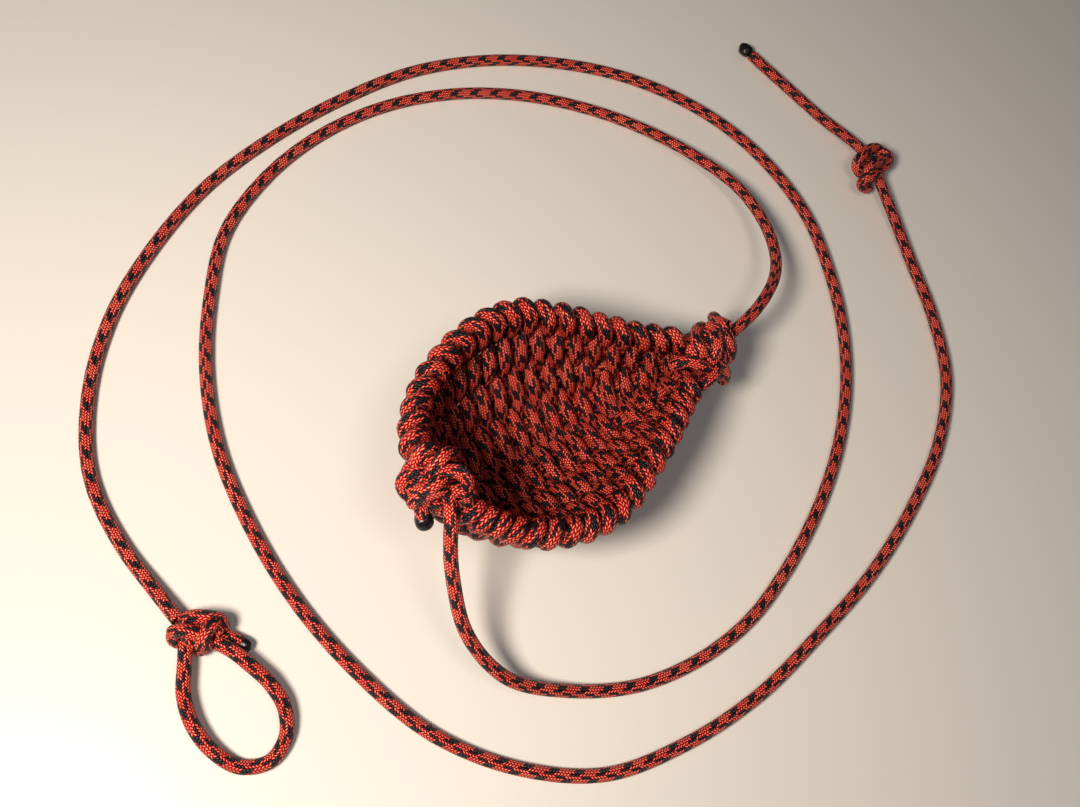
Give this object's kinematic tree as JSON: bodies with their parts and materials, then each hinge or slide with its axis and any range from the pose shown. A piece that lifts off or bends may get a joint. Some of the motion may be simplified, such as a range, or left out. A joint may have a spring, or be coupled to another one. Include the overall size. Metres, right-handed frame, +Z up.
{
  "type": "woven cord rock sling",
  "caption": "Hand sling of braided cord: a deep woven cup with a knot at each end, a retention cord with a knotted finger loop and a release cord with a stopper knot.",
  "frame": {"origin": "on the plane the sling rests on, under the middle of the cup with its two end knots", "axes": "+X along the cup from the retention (finger loop) end to the release end, +Z up out of the cup's mouth"},
  "size_m": [0.3101, 0.2487, 0.0554],
  "materials": {
    "braided_cord": "braided nylon sheath, slight sheen",
    "weft_cord": "braided nylon sheath, slight sheen",
    "frame_cord": "braided nylon sheath",
    "melted_nylon": "melted, lumpy, glossy"
  },
  "bodies": {
    "sling": {"frame_strand_1": "frame_cord", "frame_strand_2": "frame_cord", "frame_strand_3": "frame_cord", "frame_strand_4": "frame_cord", "frame_strand_5": "frame_cord", "frame_strand_6": "frame_cord", "frame_strand_7": "frame_cord", "frame_strand_8": "frame_cord", "weft_rows_01": "weft_cord", "weft_rows_02": "weft_cord", "weft_rows_03": "weft_cord", "weft_rows_04": "weft_cord", "weft_rows_05": "weft_cord", "weft_rows_06": "weft_cord", "weft_rows_07": "weft_cord", "weft_rows_08": "weft_cord", "weft_rows_09": "weft_cord", "weft_rows_10": "weft_cord", "retention_end_knot": "braided_cord", "release_end_knot": "braided_cord", "weft_cut_end": "braided_cord", "retention_cord": "braided_cord", "release_cord": "braided_cord", "finger_loop_cut_end": "braided_cord", "finger_loop_knot": "braided_cord", "stopper_knot": "braided_cord", "weft_melted_tip": "melted_nylon", "finger_loop_melted_tip": "melted_nylon"},
    "loop": {"finger_loop": "braided_cord"},
    "tail": {"release_tail": "braided_cord", "tail_melted_tip": "melted_nylon"}
  },
  "joints": [
    {"name": "finger_loop_lift", "type": "hinge", "parent": "sling", "child": "loop", "pos_m": [-0.11988, -0.00432, 0.0059], "axis": [-0.9903, 0.1392, 0], "range_deg": [0, 90]},
    {"name": "release_tail_lift", "type": "hinge", "parent": "sling", "child": "tail", "pos_m": [0.17112, 0.04168, 0.0054], "axis": [0.9397, -0.342, 0], "range_deg": [0, 90]}
  ]
}
